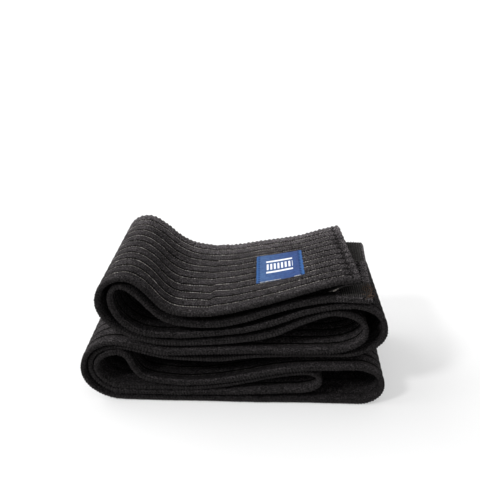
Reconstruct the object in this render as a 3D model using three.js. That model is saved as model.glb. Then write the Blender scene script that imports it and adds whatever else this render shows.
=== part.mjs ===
// Knee wrap: one long strip of ribbed elastic, folded in half and then to and fro into a loose stack.
// Millimetres, +Z up. X runs along the stack, Y across the band, and the lowest run lies on Z = 0.
import * as THREE from "three";

// The band
const BAND_WIDTH = 80;
const BAND_THICK = 3;
const RIB_COUNT = 11;
const GROOVE_DEPTH = 0.6;
const GROOVE_HALF = 0.9;
const SELVAGE_HALF = 0.8;
const SELVAGE_INSET = 0.9;
const PLAIN_STRIPS = 5;

// Steps along the band: a fine line first, then only the stops that its bends need
const FINE_STEP = 1;
const FINE_PER_QUARTER = 24;
const CHORD_ERROR = 0.43;
const LONGEST_STEP = 60;

// What is sewn on
const SEWN_GAP = 0.3;
const LABEL_THICK = 0.9;
const TAPE_THICK = 1.3;

// The back of the bundle against its front: how far it rises or drops at the top of the stack, and how far its
// right side, its left folds and its lower end stand further to the right
const LEAN_HEIGHT = 85;
const LEAN = [
  { x: -76, z: 4.0 }, { x: -60, z: 4.3 }, { x: -46, z: 4.8 }, { x: -36, z: 3.6 }, { x: -22, z: 6.8 },
  { x: -10, z: 5.2 }, { x: 2, z: 2.3 }, { x: 16, z: 0.5 }, { x: 32, z: -2.6 }, { x: 44, z: -4.7 },
  { x: 56, z: -4.4 }, { x: 70, z: -2.8 }, { x: 90, z: -2.8 },
];
const FAN_OUT = 6;
const UPPER_FAN = 4.4;
const END_FAN = 6.1;
const LOW_FAN = 1.3;
const LEFT_FAN = 4.2;
const CREST_FAN = 2.1;

// The run that lies flat on the surface under the bundle keeps a stop at each of its ends.
const FLOOR_RUN = "A4";

// Heights of each run's middle line at seven places along X, in the order of the band from end A to
// end B. Where a fold has taken over at that side, the place holds null.
const PLACES = [-40, -24, -8, 8, 24, 40, 56];
const RUNS = [
  { name: "A1", heading: -1, shift: -0.6, heights: [72.7, 63.7, 63.9, 67.7, 72.7, 78.7, 84.0] },
  { name: "A2", heading: +1, shift: 0.2, heights: [null, 42.0, 43.3, 45.7, 49.9, 58.3, null] },
  { name: "A3", heading: -1, shift: -0.9, heights: [36.0, 36.7, 37.4, 37.9, 38.2, 38.5, null] },
  { name: "A4", heading: +1, shift: 0, heights: [1.5, 1.5, 1.5, 1.5, 1.5, 1.5, 1.5] },
  { name: "A5", heading: -1, shift: -0.3, heights: [13.9, 13.1, 15.3, 18.8, 22.8, 25.4, 26.6] },
  { name: "B5", heading: +1, shift: 0.9, heights: [9.2, 9.3, 11.4, 14.9, 18.9, null, null] },
  { name: "B4", heading: -1, shift: 0.4, heights: [5.5, 5.7, 6.4, 7.1, 7.7, null, null] },
  { name: "B3", heading: +1, shift: 1.2, heights: [31.7, 30.6, 30.6, 33.2, 34.3, 34.8, null] },
  { name: "B2", heading: -1, shift: 0.4, heights: [null, 47.2, 49.1, 52.1, 57.3, 64.1, 68.3] },
  { name: "B1", heading: +1, shift: -0.2, heights: [59.4, 55.1, 55.5, 59.7, 65.6, 70.4, 73.4] },
];

// Each fold has a crest, where the band is level at the top, a nose, where it stands upright, and a keel,
// where it is level again at the bottom.
const FOLDS = [
  { name: "A1_A2", crestX: -60.6, crestZ: 84.4, noseX: -76.5, noseZ: 68.0, keelX: -34, keelZ: 41.8 },
  { name: "A2_A3", crestX: 58, crestZ: 64.3, noseX: 76.2, noseZ: 51.3, keelX: 55, keelZ: 39.0 },
  { name: "A3_A4", crestX: -69.2, crestZ: 42.0, noseX: -89.0, noseZ: 21.6, keelX: -66, keelZ: 1.5 },
  { name: "A4_A5", crestX: 73, crestZ: 26.9, noseX: 90.0, noseZ: 13.0, keelX: 77, keelZ: 1.5 },
  { name: "A5_B5", crestX: -67.2, crestZ: 34.4, noseX: -81.2, noseZ: 23.5, keelX: -62, keelZ: 9.3 },
  { name: "B5_B4", crestX: 44, crestZ: 21.9, noseX: 52.5, noseZ: 15.4, keelX: 38, keelZ: 8.5 },
  { name: "B4_B3", crestX: -67.8, crestZ: 38.0, noseX: -84.9, noseZ: 23.8, keelX: -64, keelZ: 5.6 },
  { name: "B3_B2", crestX: 67, crestZ: 69.0, noseX: 87.2, noseZ: 51.5, keelX: 62, keelZ: 35.3 },
  { name: "B2_B1", crestX: -62.8, crestZ: 79.0, noseX: -69.4, noseZ: 70.5, keelX: -42, keelZ: 46.8 },
];

// The run into the half-way fold climbs steeply, so it has three places of its own.
const CLIMB = [
  { run: "A5", x: -62.4, z: 31.8 },
  { run: "A5", x: -58.6, z: 23.6 },
  { run: "A5", x: -53.5, z: 17.4 },
];

// The two cut ends
const ENDS = [
  { run: "A1", x: 69.5, z: 86 },
  { run: "B1", x: 77, z: 72.9 },
];

// What is sewn on, by the stretch of X that it covers and its place across the band
const SEWN = [
  { name: "label_patch", run: "A1", face: +1, fromX: 13, toX: 41, front: -20, back: 14, skew: -4, cloth: "label" },
  { name: "hook_tape_back", run: "B1", face: -1, fromX: 60, toX: 76.4, front: 10, back: 38.6, skew: 0, cloth: "tape" },
  { name: "hook_tape_front", run: "B1", face: -1, fromX: 60, toX: 76.4, front: -38.6, back: -20, skew: 0, cloth: "tape" },
  { name: "loop_tape", run: "A1", face: -1, fromX: 51, toX: 69, front: -38.8, back: 38.6, skew: 0, cloth: "tape" },
];

const CLOTH = {
  band: new THREE.MeshStandardMaterial({ color: 0x1d1b1c, roughness: 0.95, metalness: 0 }),
  label: new THREE.MeshStandardMaterial({ color: 0x1c3f86, roughness: 0.8, metalness: 0 }),
  tape: new THREE.MeshStandardMaterial({ color: 0x232021, roughness: 0.85, metalness: 0 }),
};

// A smooth height curve through places that are in order of X. Its ends are level unless they are cut ends.
function heightCurve(places) {
  const slopes = places.map((place, i) => {
    const before = places[i - 1];
    const after = places[i + 1];
    if (before && after) return (after.z - before.z) / (after.x - before.x);
    if (!place.cut) return 0;
    const inner = before ?? after;
    return (place.z - inner.z) / (place.x - inner.x) * 0.4;
  });
  return (x) => {
    let i = 0;
    while (i < places.length - 2 && x > places[i + 1].x) i += 1;
    const span = places[i + 1].x - places[i].x;
    const u = (x - places[i].x) / span;
    const rest = 1 - u;
    return places[i].z * (1 + 2 * u) * rest * rest + slopes[i] * span * u * rest * rest
      + places[i + 1].z * (3 - 2 * u) * u * u - slopes[i + 1] * span * u * u * rest;
  };
}

// The end of a fold that meets a run: the crest or the keel, whichever run it belongs to
function foldEnd(fold, runName) {
  const [first, second] = fold.name.split("_");
  const firstRun = RUNS.find((run) => run.name === first);
  const secondRun = RUNS.find((run) => run.name === second);
  const middle = (run) => run.heights[3];
  const upper = middle(firstRun) > middle(secondRun) ? first : second;
  return runName === upper ? { x: fold.crestX, z: fold.crestZ } : { x: fold.keelX, z: fold.keelZ };
}

// Places of one run in order of X: its table row, its climb, and the fold or cut end at each side
function runPlaces(run) {
  const places = [];
  run.heights.forEach((z, i) => {
    if (z !== null) places.push({ x: PLACES[i], z });
  });
  CLIMB.filter((row) => row.run === run.name).forEach((row) => places.push({ x: row.x, z: row.z }));
  ENDS.filter((row) => row.run === run.name).forEach((row) => places.push({ x: row.x, z: row.z, cut: true }));
  FOLDS.filter((fold) => fold.name.split("_").includes(run.name)).forEach((fold) => {
    places.push(foldEnd(fold, run.name));
  });
  return places.sort((a, b) => a.x - b.x);
}

// Middle line of the whole band as points in the XZ plane, each with its run and sideways shift
function middleLine() {
  const line = [];
  RUNS.forEach((run, index) => {
    const places = runPlaces(run);
    const height = heightCurve(places);
    const low = places[0].x;
    const high = places[places.length - 1].x;
    const count = Math.round((high - low) / FINE_STEP);
    const seams = [...new Set(SEWN.filter((row) => row.run === run.name)
      .flatMap((row) => [row.fromX, row.toX]))];
    const stops = [...Array(count + 1).keys()].map((k) => low + (high - low) * k / count)
      .filter((x) => seams.every((seam) => Math.abs(seam - x) > FINE_STEP / 2));
    stops.push(...seams);
    stops.sort((a, b) => (a - b) * run.heading);
    stops.forEach((x, k) => {
      const level = run.name === FLOOR_RUN && (k === 0 || k === stops.length - 1);
      line.push({ x, z: height(x), run: run.name, shift: run.shift, level, kept: level || seams.includes(x) });
    });
    const fold = FOLDS[index];
    if (!fold) return;
    const start = foldEnd(fold, run.name);
    const next = RUNS[index + 1];
    const finish = foldEnd(fold, next.name);
    const total = 2 * FINE_PER_QUARTER;
    for (let k = 1; k < total; k += 1) {
      const angle = Math.PI * k / total;
      const near = k <= FINE_PER_QUARTER ? start : finish;
      line.push({
        x: near.x + (fold.noseX - near.x) * Math.sin(angle),
        z: fold.noseZ + (near.z - fold.noseZ) * Math.abs(Math.cos(angle)),
        run: fold.name,
        shift: run.shift + (next.shift - run.shift) * k / total,
      });
    }
  });
  return line;
}

// Give each point of the line the direction that the label side of the band faces there.
function withNormals(line) {
  return line.map((point, i) => {
    const before = line[Math.max(0, i - 1)];
    const after = line[Math.min(line.length - 1, i + 1)];
    const stepIn = new THREE.Vector2(point.x - before.x, point.z - before.z).normalize();
    const stepOut = new THREE.Vector2(after.x - point.x, after.z - point.z).normalize();
    const along = stepIn.add(stepOut).normalize();
    if (point.level) return { ...point, normalX: 0, normalZ: Math.sign(-along.x) };
    return { ...point, normalX: along.y, normalZ: -along.x };
  });
}

function ramp(value, from, to) {
  return THREE.MathUtils.smoothstep(value, from, to);
}

const leanAt = heightCurve(LEAN);

// The bundle's own lean and fan, which grow from the front edge to the back edge
function settle(x, y, z) {
  const back = (y + BAND_WIDTH / 2) / BAND_WIDTH;
  const inTable = THREE.MathUtils.clamp(x, LEAN[0].x, LEAN[LEAN.length - 1].x);
  const lean = back * (z / LEAN_HEIGHT) * leanAt(inTable);
  const outward = FAN_OUT + (UPPER_FAN - FAN_OUT) * ramp(z, 28, 48);
  const rightFan = outward * ramp(x, 15, 85) + END_FAN * ramp(x, 60, 78) * ramp(z, 68, 72);
  const leftFan = LOW_FAN * ramp(z, 8, 25) + (LEFT_FAN - LOW_FAN) * ramp(z, 30, 60)
    + (CREST_FAN - LEFT_FAN) * ramp(z, 72, 84);
  const fan = back * (rightFan * (1 - ramp(z, 76, 82)) + leftFan * (1 - ramp(x, -75, -35)));
  return new THREE.Vector3(x + fan, y, z + lean);
}

// How far a line strays from the straight chord between two of its points
function strays(points, from, to) {
  const chord = new THREE.Vector2(points[to].x - points[from].x, points[to].z - points[from].z);
  const length = chord.length();
  if (length > LONGEST_STEP) return Infinity;
  let most = 0;
  for (let k = from + 1; k < to; k += 1) {
    const reach = new THREE.Vector2(points[k].x - points[from].x, points[k].z - points[from].z);
    most = Math.max(most, Math.abs(chord.cross(reach)) / length);
  }
  return most;
}

// Keep the stops that the bends need at the band's front edge and at its back edge.
function fewerStops(fine) {
  const backEdge = fine.map((point) => settle(point.x, BAND_WIDTH / 2, point.z));
  const fits = (from, to) => !fine.slice(from + 1, to).some((point) => point.kept)
    && Math.max(strays(fine, from, to), strays(backEdge, from, to)) < CHORD_ERROR;
  const kept = [fine[0]];
  let from = 0;
  while (from < fine.length - 1) {
    let to = from + 1;
    while (to + 1 < fine.length && fits(from, to + 1)) to += 1;
    kept.push(fine[to]);
    from = to;
  }
  return kept;
}

// Cross-section of the band as points (across, out), once round: flat ribs with narrow grooves on the label
// side, a plain other side, which lies inside the folds, and a rounded selvage at each edge
function bandSection() {
  const half = BAND_WIDTH / 2;
  const out = BAND_THICK / 2;
  const rib = BAND_WIDTH / RIB_COUNT;
  const flat = half - SELVAGE_INSET;
  const points = [[-flat, out]];
  for (let i = 1; i < RIB_COUNT; i += 1) {
    const groove = -half + rib * i;
    points.push([groove - GROOVE_HALF, out], [groove, out - GROOVE_DEPTH], [groove + GROOVE_HALF, out]);
  }
  points.push([flat, out], [half, SELVAGE_HALF], [half, -SELVAGE_HALF]);
  for (let i = 0; i <= PLAIN_STRIPS; i += 1) points.push([flat - 2 * flat * i / PLAIN_STRIPS, -out]);
  points.push([-half, -SELVAGE_HALF], [-half, SELVAGE_HALF]);
  return points;
}

// Sweep a section along stops. Each stop gives the section's own points, so a pad may turn as it goes.
function sweep(stops, sectionAt) {
  const rings = stops.map((stop) => sectionAt(stop).map(([across, out]) => settle(
    stop.x + stop.normalX * out, across + stop.shift, stop.z + stop.normalZ * out)));
  const size = rings[0].length;
  const positions = [];
  rings.forEach((ring) => ring.forEach((point) => positions.push(point.x, point.y, point.z)));
  const faces = [];
  for (let i = 0; i + 1 < rings.length; i += 1) {
    for (let j = 0; j < size; j += 1) {
      const a = i * size + j;
      const b = i * size + (j + 1) % size;
      faces.push(a, a + size, b, b, a + size, b + size);
    }
  }
  const outline = sectionAt(stops[0]).map(([across, out]) => new THREE.Vector2(across, out));
  const cap = THREE.ShapeUtils.triangulateShape(outline, []);
  const last = (rings.length - 1) * size;
  const turnsLeft = !THREE.ShapeUtils.isClockWise(outline);
  cap.forEach((corners) => {
    const small = corners.map((k) => outline[k]);
    const [a, b, c] = THREE.ShapeUtils.isClockWise(small) === turnsLeft ? corners.toReversed() : corners;
    faces.push(a, b, c, last + a, last + c, last + b);
  });
  const geometry = new THREE.BufferGeometry();
  geometry.setAttribute("position", new THREE.Float32BufferAttribute(positions, 3));
  geometry.setIndex(faces);
  geometry.computeVertexNormals();
  return geometry;
}

const line = fewerStops(withNormals(middleLine()));

// Stops of the line inside a stretch of X on one run, with the stretch's two ends worked out between stops
function stretch(runName, fromX, toX) {
  const run = line.filter((point) => point.run === runName).sort((a, b) => a.x - b.x);
  const at = (x) => {
    let i = 0;
    while (i < run.length - 2 && x > run[i + 1].x) i += 1;
    const u = (x - run[i].x) / (run[i + 1].x - run[i].x);
    const mix = (key) => run[i][key] + (run[i + 1][key] - run[i][key]) * u;
    return {
      x, z: mix("z"), shift: run[i].shift, normalX: mix("normalX"), normalZ: mix("normalZ"),
    };
  };
  const inside = run.filter((point) => point.x > fromX + 1 && point.x < toX - 1);
  return [at(fromX), ...inside, at(toX)];
}

// A thin pad on one face of a run
function pad(row) {
  const thick = row.cloth === "label" ? LABEL_THICK : TAPE_THICK;
  const low = BAND_THICK / 2 + SEWN_GAP;
  const stops = stretch(row.run, row.fromX, row.toX);
  return sweep(stops, (stop) => {
    const turn = row.skew * ((stop.x - row.fromX) / (row.toX - row.fromX) - 0.5);
    const near = row.face * low;
    const far = row.face * (low + thick);
    return [
      [row.front + turn, near], [row.back + turn, near], [row.back + turn, far], [row.front + turn, far],
    ];
  });
}

// Turn a geometry right side out by the sign of its volume.
function rightSideOut(geometry) {
  const p = geometry.attributes.position;
  const index = geometry.index.array;
  const a = new THREE.Vector3();
  const b = new THREE.Vector3();
  const c = new THREE.Vector3();
  let volume = 0;
  for (let i = 0; i < index.length; i += 3) {
    a.fromBufferAttribute(p, index[i]);
    b.fromBufferAttribute(p, index[i + 1]);
    c.fromBufferAttribute(p, index[i + 2]);
    volume += a.dot(b.cross(c)) / 6;
  }
  if (volume < 0) {
    for (let i = 0; i < index.length; i += 3) {
      const keep = index[i + 1];
      index[i + 1] = index[i + 2];
      index[i + 2] = keep;
    }
    geometry.computeVertexNormals();
  }
  return geometry;
}

const wrap = new THREE.Group();

const section = bandSection();
const band = new THREE.Mesh(rightSideOut(sweep(line, () => section)), CLOTH.band);
band.name = "elastic_band";
wrap.add(band);

for (const row of SEWN) {
  const patch = new THREE.Mesh(rightSideOut(pad(row)), CLOTH[row.cloth]);
  patch.name = row.name;
  wrap.add(patch);
}

// The bundle stands in the middle of its own footprint.
const footprint = new THREE.Box3().setFromObject(wrap).getCenter(new THREE.Vector3());
wrap.position.set(-footprint.x, -footprint.y, 0);

export default wrap;
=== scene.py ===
# %% [markdown]
# # A folded knee wrap
# A knee wrap is one long strip of heavy ribbed elastic. This one is folded in half and then to and fro,
# so ten runs of cloth lie in a loose stack. The CAD part gives the places of the runs and folds. Here the
# same strip gets its knitted ribs, its thread lines, its woven edges, its label and its fastener tape.

# %% Load the frame
import math
import bpy
from mathutils import Matrix, Vector


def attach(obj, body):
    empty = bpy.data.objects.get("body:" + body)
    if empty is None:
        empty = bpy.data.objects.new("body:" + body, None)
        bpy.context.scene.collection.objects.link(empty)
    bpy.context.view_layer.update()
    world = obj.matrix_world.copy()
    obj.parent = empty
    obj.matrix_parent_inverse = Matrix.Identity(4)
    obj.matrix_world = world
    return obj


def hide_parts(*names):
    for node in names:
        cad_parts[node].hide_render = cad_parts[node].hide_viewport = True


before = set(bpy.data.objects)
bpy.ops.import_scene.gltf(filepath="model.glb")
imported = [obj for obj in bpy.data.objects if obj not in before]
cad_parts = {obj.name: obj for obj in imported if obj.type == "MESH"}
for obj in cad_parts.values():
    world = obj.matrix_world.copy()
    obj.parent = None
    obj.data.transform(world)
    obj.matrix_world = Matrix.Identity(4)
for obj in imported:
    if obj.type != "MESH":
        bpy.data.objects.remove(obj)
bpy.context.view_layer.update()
MM = 0.001

# %% [markdown]
# ## The line that the band follows
# Seen from the front, the band is a single line that goes to the left, folds, comes back and so on. It
# could be a curve drawn by hand, but then nothing could be measured along it. Here each run is a smooth
# height curve through a few measured places, and each fold is made of two quarter ellipses. The sizes are
# millimetres on the real bundle. Everything that is sewn or knitted into the band asks this one line
# where it is, so all the pieces agree.

# %% Measured places of the runs and folds
BAND_WIDTH = 80.0
BAND_THICK = 3.0
HALF_WIDE = BAND_WIDTH / 2
HALF_THICK = BAND_THICK / 2
RIBS = 11
RIB = BAND_WIDTH / RIBS
TOP_RUN = "A1"
TAPE_RUN = "B1"
# X of the places where the runs' heights are given
PLACES = [-40, -24, -8, 8, 24, 40, 56]
# Each run, from the upper end of the band to the lower one
RUN_COLUMNS = ("name", "heading", "shift", "heights")
RUNS = [
    ("A1", -1, -0.6, [72.7, 63.7, 63.9, 67.7, 72.7, 78.7, 84.0]),
    ("A2", +1, 0.2, [None, 42.0, 43.3, 45.7, 49.9, 58.3, None]),
    ("A3", -1, -0.9, [36.0, 36.7, 37.4, 37.9, 38.2, 38.5, None]),
    ("A4", +1, 0.0, [1.5, 1.5, 1.5, 1.5, 1.5, 1.5, 1.5]),
    ("A5", -1, -0.3, [13.9, 13.1, 15.3, 18.8, 22.8, 25.4, 26.6]),
    ("B5", +1, 0.9, [9.2, 9.3, 11.4, 14.9, 18.9, None, None]),
    ("B4", -1, 0.4, [5.5, 5.7, 6.4, 7.1, 7.7, None, None]),
    ("B3", +1, 1.2, [31.7, 30.6, 30.6, 33.2, 34.3, 34.8, None]),
    ("B2", -1, 0.4, [None, 47.2, 49.1, 52.1, 57.3, 64.1, 68.3]),
    ("B1", +1, -0.2, [59.4, 55.1, 55.5, 59.7, 65.6, 70.4, 73.4]),
]
# Each fold joins two runs, by way of a crest, a nose and a keel
FOLD_COLUMNS = ("first", "second", "crest_x", "crest_z", "nose_x", "nose_z", "keel_x", "keel_z")
FOLDS = [
    ("A1", "A2", -60.6, 84.4, -76.5, 68.0, -34, 41.8),
    ("A2", "A3", 58, 64.3, 76.2, 51.3, 55, 39.0),
    ("A3", "A4", -69.2, 42.0, -89.0, 21.6, -66, 1.5),
    ("A4", "A5", 73, 26.9, 90.0, 13.0, 77, 1.5),
    ("A5", "B5", -67.2, 34.4, -81.2, 23.5, -62, 9.3),
    ("B5", "B4", 44, 21.9, 52.5, 15.4, 38, 8.5),
    ("B4", "B3", -67.8, 38.0, -84.9, 23.8, -64, 5.6),
    ("B3", "B2", 67, 69.0, 87.2, 51.5, 62, 35.3),
    ("B2", "B1", -62.8, 79.0, -69.4, 70.5, -42, 46.8),
]
# More places on a steep run, and the places where the two ends are cut
CLIMB = {"A5": [(-62.4, 31.8), (-58.6, 23.6), (-53.5, 17.4)]}
ENDS = {TOP_RUN: (69.5, 86.0), TAPE_RUN: (77.0, 72.9)}
# The middle of the bundle's footprint, which the CAD part stands on
FOOT_X = 3.539
FOOT_Y = 0.15
print(len(RUNS), "runs and", len(FOLDS), "folds")

# %% Soft forms that the cloth has taken on
# The front of the top run sags beside the left fold: how far, where, and how wide to the left and right
SAG = 5.8
SAG_X = -38.0
SAG_LEFT = 9.0
SAG_RIGHT = 10.5
# A crease crosses the top run, where the wrap was folded flat before: its place, depth, width and side step
CREASE_X = -13.0
CREASE_DEEP = 0.4
CREASE_WIDE = 2.4
CREASE_JOG = 0.25
# The front ribs are pushed apart at the crease: how far, over what length, and how slowly that fades
CRIMP = 1.7
CRIMP_LENGTH = 1.1
CRIMP_FADE = 5.0
# Size, length and start of the waves in the band's edges
WAVES = [(0.22, 27.0, 0.8), (0.15, 9.7, 2.1)]


def crease(name, x):
    if name != TOP_RUN:
        return 0.0, 0.0
    reach = (x - CREASE_X) / CREASE_WIDE
    return -CREASE_DEEP * math.exp(-reach * reach), CREASE_JOG * math.tanh(reach)


def crimp_at(name, x):
    if name != TOP_RUN:
        return 0.0
    reach = (x - CREASE_X) / CRIMP_LENGTH
    return CRIMP * math.tanh(reach) * math.exp(-abs(reach) / CRIMP_FADE)


def sag_at(name, x):
    if name != TOP_RUN:
        return 0.0
    reach = (x - SAG_X) / (SAG_LEFT if x < SAG_X else SAG_RIGHT)
    return SAG * math.exp(-reach * reach)


def waver(along):
    return sum(size * math.sin(along / length + start) for size, length, start in WAVES)


print("deepest sag", sag_at(TOP_RUN, SAG_X), "mm")

# %% The height of a run
RUN = {row[0]: dict(zip(RUN_COLUMNS, row)) for row in RUNS}
FOLD_ROWS = [dict(zip(FOLD_COLUMNS, row)) for row in FOLDS]
# The place at which two runs are compared, to see which is the upper one
MIDDLE = PLACES.index(8)
END_SLOPE = 0.4


def fold_end(fold, name):
    first, second = fold["first"], fold["second"]
    upper = first if RUN[first]["heights"][MIDDLE] > RUN[second]["heights"][MIDDLE] else second
    if name == upper:
        return fold["crest_x"], fold["crest_z"]
    return fold["keel_x"], fold["keel_z"]


def run_places(name):
    places = [(x, z, False) for x, z in zip(PLACES, RUN[name]["heights"]) if z is not None]
    places += [(x, z, False) for x, z in CLIMB.get(name, [])]
    if name in ENDS:
        places.append((*ENDS[name], True))
    for fold in FOLD_ROWS:
        if name in (fold["first"], fold["second"]):
            places.append((*fold_end(fold, name), False))
    return sorted(places)


def slope_at(places, i):
    if 0 < i < len(places) - 1:
        before, after = places[i - 1], places[i + 1]
        return (after[1] - before[1]) / (after[0] - before[0])
    if not places[i][2]:
        return 0.0
    inner = places[1] if i == 0 else places[i - 1]
    return END_SLOPE * (places[i][1] - inner[1]) / (places[i][0] - inner[0])


def height(places, x):
    i = 0
    while i < len(places) - 2 and x > places[i + 1][0]:
        i += 1
    span = places[i + 1][0] - places[i][0]
    u = (x - places[i][0]) / span
    v = 1 - u
    rise = places[i][1] * (1 + 2 * u) * v * v + slope_at(places, i) * span * u * v * v
    return rise + places[i + 1][1] * (3 - 2 * u) * u * u - slope_at(places, i + 1) * span * u * u * v


print("top run over the middle", round(height(run_places(TOP_RUN), 0.0), 1), "mm high")

# %% The line as points with a run, a sideways shift and a facing direction
FINE_STEP = 0.5
FOLD_STEPS = 120


def run_points(name, heading, shift):
    places = run_places(name)
    low, high = places[0][0], places[-1][0]
    count = round((high - low) / FINE_STEP)
    points = []
    for k in range(count + 1):
        u = k / count
        x = low + (high - low) * (u if heading > 0 else 1 - u)
        dent, jog = crease(name, x)
        points.append([x, height(places, x) + dent, name, shift + jog])
    return points


def fold_points(fold, first_shift, last_shift):
    start, finish = fold_end(fold, fold["first"]), fold_end(fold, fold["second"])
    points = []
    for k in range(1, FOLD_STEPS):
        angle = math.pi * k / FOLD_STEPS
        near = start if k <= FOLD_STEPS / 2 else finish
        x = near[0] + (fold["nose_x"] - near[0]) * math.sin(angle)
        z = fold["nose_z"] + (near[1] - fold["nose_z"]) * abs(math.cos(angle))
        points.append([x, z, "fold", first_shift + (last_shift - first_shift) * k / FOLD_STEPS])
    return points


def fine_line():
    line = []
    for index, (name, heading, shift, _) in enumerate(RUNS):
        line += run_points(name, heading, shift)
        if index < len(FOLD_ROWS):
            fold = FOLD_ROWS[index]
            second = fold["second"]
            last_shift = RUN[second]["shift"] + crease(second, fold_end(fold, second)[0])[1]
            line += fold_points(fold, line[-1][3], last_shift)
    return line


def with_facing(line):
    out = []
    along = 0.0
    for i, (x, z, name, shift) in enumerate(line):
        a, b = line[max(0, i - 1)], line[min(len(line) - 1, i + 1)]
        step = Vector((b[0] - a[0], b[1] - a[1])).normalized()
        if i:
            along += math.dist(line[i - 1][:2], (x, z))
        out.append(dict(x=x, z=z, run=name, shift=shift + waver(along), nx=step.y, nz=-step.x, s=along,
                        crimp=crimp_at(name, x), sag=sag_at(name, x)))
    return out


FINE = with_facing(fine_line())
LENGTH = FINE[-1]["s"]
print("middle line", len(FINE), "points,", round(LENGTH), "mm long")

# %% [markdown]
# ## Fewer points where the band is straight
# A tight fold needs a point every millimetre, but a straight run does not. Even steps would either make
# the folds angular or the mesh heavy. The walk below spends points by how much the line turns, so folds
# come out round and the mesh stays light. Only the crease and the cut ends get short steps of their own.

# %% Stops along the line
MOST_STEP = 4.2
MOST_TURN = math.radians(9.0)
# Nearness to the crease and to a cut end, each with the longest step there
CREASE_NEAR = 7.0
CREASE_STEP = 0.7
END_STEPS = [(3.0, 0.45), (9.0, 0.8)]


def from_end(stop):
    return min(stop["s"], LENGTH - stop["s"])


def wanted(a, b):
    length = b["s"] - a["s"]
    turn = abs(a["nx"] * b["nz"] - a["nz"] * b["nx"])
    spend = max(length / MOST_STEP, turn / MOST_TURN)
    if a["run"] == TOP_RUN and abs(a["x"] - CREASE_X) < CREASE_NEAR:
        return max(spend, length / CREASE_STEP)
    for reach, step in END_STEPS:
        if from_end(a) < reach:
            return max(spend, length / step)
    return spend


def walk(line):
    stops = [line[0]]
    spent = 0.0
    for a, b in zip(line, line[1:]):
        spent += wanted(a, b)
        if spent >= 1.0:
            stops.append(b)
            spent -= 1.0
    if stops[-1] is not line[-1]:
        stops.append(line[-1])
    return stops


STOPS = walk(FINE)
print("stops", len(STOPS))

# %% [markdown]
# ## Lean and fan
# The back of the bundle isn't quite like its front. Its top rises or drops by a few millimetres along the
# way, its right side fans out, and the lower end lies a little askew. Each stop works out once how far
# its back edge is moved, and a point gets its share by how far back it is. A lattice could bend the
# finished mesh in the same way, but then the stitches and threads couldn't ask where the cloth is.

# %% How far the back edge of each stop is moved
LEAN_HEIGHT = 85.0
# X, and the rise of the back edge there at the height above
LEAN = [(-76, 4.0), (-60, 4.3), (-46, 4.8), (-36, 3.6), (-22, 6.8), (-10, 5.2), (2, 2.3), (16, 0.5),
        (32, -2.6), (44, -4.7), (56, -4.4), (70, -2.8), (90, -2.8)]
LEAN_PLACES = [(x, z, False) for x, z in LEAN]
# Outward shift at the right, low and high, and at the lower end, then at the left, low, high and at the crest
FAN_OUT = 6.0
UPPER_FAN = 4.4
END_FAN = 6.1
LOW_FAN = 1.3
LEFT_FAN = 4.2
CREST_FAN = 2.1
# Stretches of X and Z over which each of them sets in or ends
RIGHT_X = (15, 85)
UPPER_Z = (28, 48)
END_X = (60, 78)
END_Z = (68, 72)
TOP_Z = (76, 82)
LEFT_X = (-75, -35)
LOW_Z = (8, 25)
LEFT_Z = (30, 60)
CREST_Z = (72, 84)


def ramp(value, low, high):
    t = min(1.0, max(0.0, (value - low) / (high - low)))
    return t * t * (3 - 2 * t)


def back_shift(x, z):
    lean = z / LEAN_HEIGHT * height(LEAN_PLACES, min(LEAN[-1][0], max(LEAN[0][0], x)))
    outward = FAN_OUT + (UPPER_FAN - FAN_OUT) * ramp(z, *UPPER_Z)
    right = outward * ramp(x, *RIGHT_X) + END_FAN * ramp(x, *END_X) * ramp(z, *END_Z)
    left = LOW_FAN * ramp(z, *LOW_Z) + (LEFT_FAN - LOW_FAN) * ramp(z, *LEFT_Z)
    left += (CREST_FAN - LEFT_FAN) * ramp(z, *CREST_Z)
    return right * (1 - ramp(z, *TOP_Z)) + left * (1 - ramp(x, *LEFT_X)), lean


for p in FINE:
    p["fan"], p["lean"] = back_shift(p["x"], p["z"])
print("widest fan", round(max(p["fan"] for p in FINE), 1), "mm")

# %% The rule that places a point of the cloth
# Across the band, the sag fades from the first place to the second, and the crimp has a middle and a width.
SAG_ACROSS = (-24, 36)
CRIMP_ACROSS = -21.0
CRIMP_WIDE = 10.0
STOP_KEYS = ("x", "z", "nx", "nz", "shift", "s", "crimp", "sag", "fan", "lean")
RUN_STOPS = {name: sorted([p for p in FINE if p["run"] == name], key=lambda p: p["x"]) for name in RUN}


def sag_share(across):
    return 1 - ramp(across, *SAG_ACROSS)


def crimp_share(across):
    return math.exp(-((across - CRIMP_ACROSS) / CRIMP_WIDE) ** 2)


def cloth_point(stop, across, out):
    y = across + stop["shift"] + stop["crimp"] * crimp_share(across)
    back = (y + HALF_WIDE) / BAND_WIDTH
    x = stop["x"] + stop["nx"] * out + back * stop["fan"]
    z = stop["z"] + stop["nz"] * out + back * stop["lean"] - stop["sag"] * sag_share(across)
    return Vector((x - FOOT_X, y - FOOT_Y, z)) * MM


def run_stop(name, x):
    rows = RUN_STOPS[name]
    i = 0
    while i < len(rows) - 2 and x > rows[i + 1]["x"]:
        i += 1
    a, b = rows[i], rows[i + 1]
    u = (x - a["x"]) / (b["x"] - a["x"])
    return {key: a[key] + (b[key] - a[key]) * u for key in STOP_KEYS}


print("upper end at", [round(v, 4) for v in cloth_point(STOPS[0], -HALF_WIDE, 0)])

# %% [markdown]
# ## Small helpers for node trees
# Geometry Nodes are built here by script, because a tree with named inputs can be run on many lines of
# yarn. A helper makes a tree, a second one adds a node and joins its sockets, and a third one runs the
# tree on an object and keeps the finished mesh. Drawing the same trees by hand would work too, but
# couldn't be rerun.

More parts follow.
